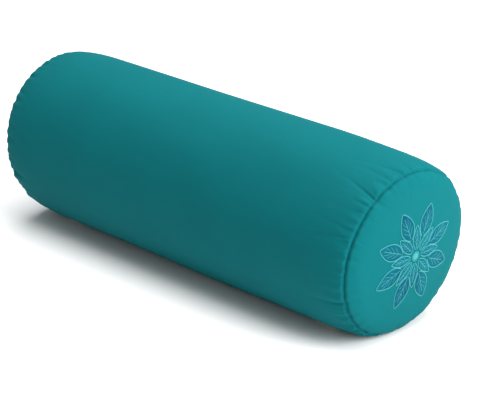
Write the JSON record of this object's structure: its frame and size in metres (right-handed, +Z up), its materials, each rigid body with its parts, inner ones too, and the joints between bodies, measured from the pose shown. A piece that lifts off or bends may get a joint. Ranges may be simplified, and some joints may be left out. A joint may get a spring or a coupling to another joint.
{
  "type": "bolster pillow",
  "caption": "Round bolster pillow with gathered ends, domed caps, an embroidered blossom, and a zipped cover over a husk-filled inner casing.",
  "frame": {"origin": "on the floor, under the middle of the bolster", "axes": "+X along the bolster towards the embroidered cap, +Z up, +Y towards the side with the zip"},
  "size_m": [0.6506, 0.23, 0.222],
  "materials": {
    "cover_cotton": "plain-weave cotton, matt",
    "cover_thread": "spun polyester sewing thread",
    "cover_zip_tape": "woven polyester tape",
    "cover_zip_coil": "satin polyester monofilament",
    "zip_metal": "nickel-coloured lacquer, satin",
    "embroidery_petal_thread": "satin rayon thread",
    "embroidery_edge_thread": "satin rayon thread",
    "backing_sheet": "soft non-woven sheet",
    "label_tape": "blank satin tape",
    "liner_cotton": "unbleached plain-weave cotton",
    "liner_thread": "spun polyester sewing thread",
    "liner_zip_tape": "woven polyester tape",
    "liner_zip_coil": "satin polyester monofilament",
    "husks": "loose dry grain husks"
  },
  "bodies": {
    "bolster": {"care_label": "label_tape", "cover_body_panel": "cover_cotton", "cover_front_cap": "cover_cotton", "cover_front_overlock_thread": "cover_thread", "cover_front_seam_thread": "cover_thread", "cover_rear_cap": "cover_cotton", "cover_rear_overlock_thread": "cover_thread", "cover_rear_seam_thread": "cover_thread", "cover_zip_bartacks": "cover_thread", "cover_zip_bottom_stop": "zip_metal", "cover_zip_lower_coil": "cover_zip_coil", "cover_zip_lower_tape": "cover_zip_tape", "cover_zip_top_stops": "zip_metal", "cover_zip_topstitching": "cover_thread", "cover_zip_upper_coil": "cover_zip_coil", "cover_zip_upper_tape": "cover_zip_tape", "embroidery_backing": "backing_sheet", "embroidery_centre": "embroidery_edge_thread", "embroidery_inner_edges": "embroidery_edge_thread", "embroidery_inner_petals": "embroidery_petal_thread", "embroidery_outer_edges": "embroidery_edge_thread", "embroidery_outer_petals": "embroidery_petal_thread", "husk_filling": "husks", "liner_body_panel": "liner_cotton", "liner_front_cap": "liner_cotton", "liner_front_overlock_thread": "liner_thread", "liner_front_seam_thread": "liner_thread", "liner_rear_cap": "liner_cotton", "liner_rear_overlock_thread": "liner_thread", "liner_rear_seam_thread": "liner_thread", "liner_zip_bartacks": "liner_thread", "liner_zip_bottom_stop": "zip_metal", "liner_zip_lower_coil": "liner_zip_coil", "liner_zip_lower_tape": "liner_zip_tape", "liner_zip_top_stops": "zip_metal", "liner_zip_topstitching": "liner_thread", "liner_zip_upper_coil": "liner_zip_coil", "liner_zip_upper_tape": "liner_zip_tape"},
    "cover_slider": {"cover_zip_slider": "zip_metal"},
    "cover_pull": {"cover_zip_pull": "zip_metal"},
    "liner_slider": {"liner_zip_slider": "zip_metal"}
  },
  "joints": [
    {"name": "cover_zip_slide", "type": "slide", "parent": "bolster", "child": "cover_slider", "axis": [1, 0, 0], "range_m": [0, 0.4557], "deforming": ["cover_zip_upper_coil", "cover_zip_lower_coil"]},
    {"name": "cover_pull_hinge", "type": "hinge", "parent": "cover_slider", "child": "cover_pull", "pos_m": [-0.23, 0.11253, 0.07685], "axis": [0, 0.2588, 0.9659], "range_deg": [0, 165]},
    {"name": "liner_zip_slide", "type": "slide", "parent": "bolster", "child": "liner_slider", "axis": [1, 0, 0], "range_m": [0, 0.2757], "deforming": ["liner_zip_upper_coil", "liner_zip_lower_coil"]}
  ]
}
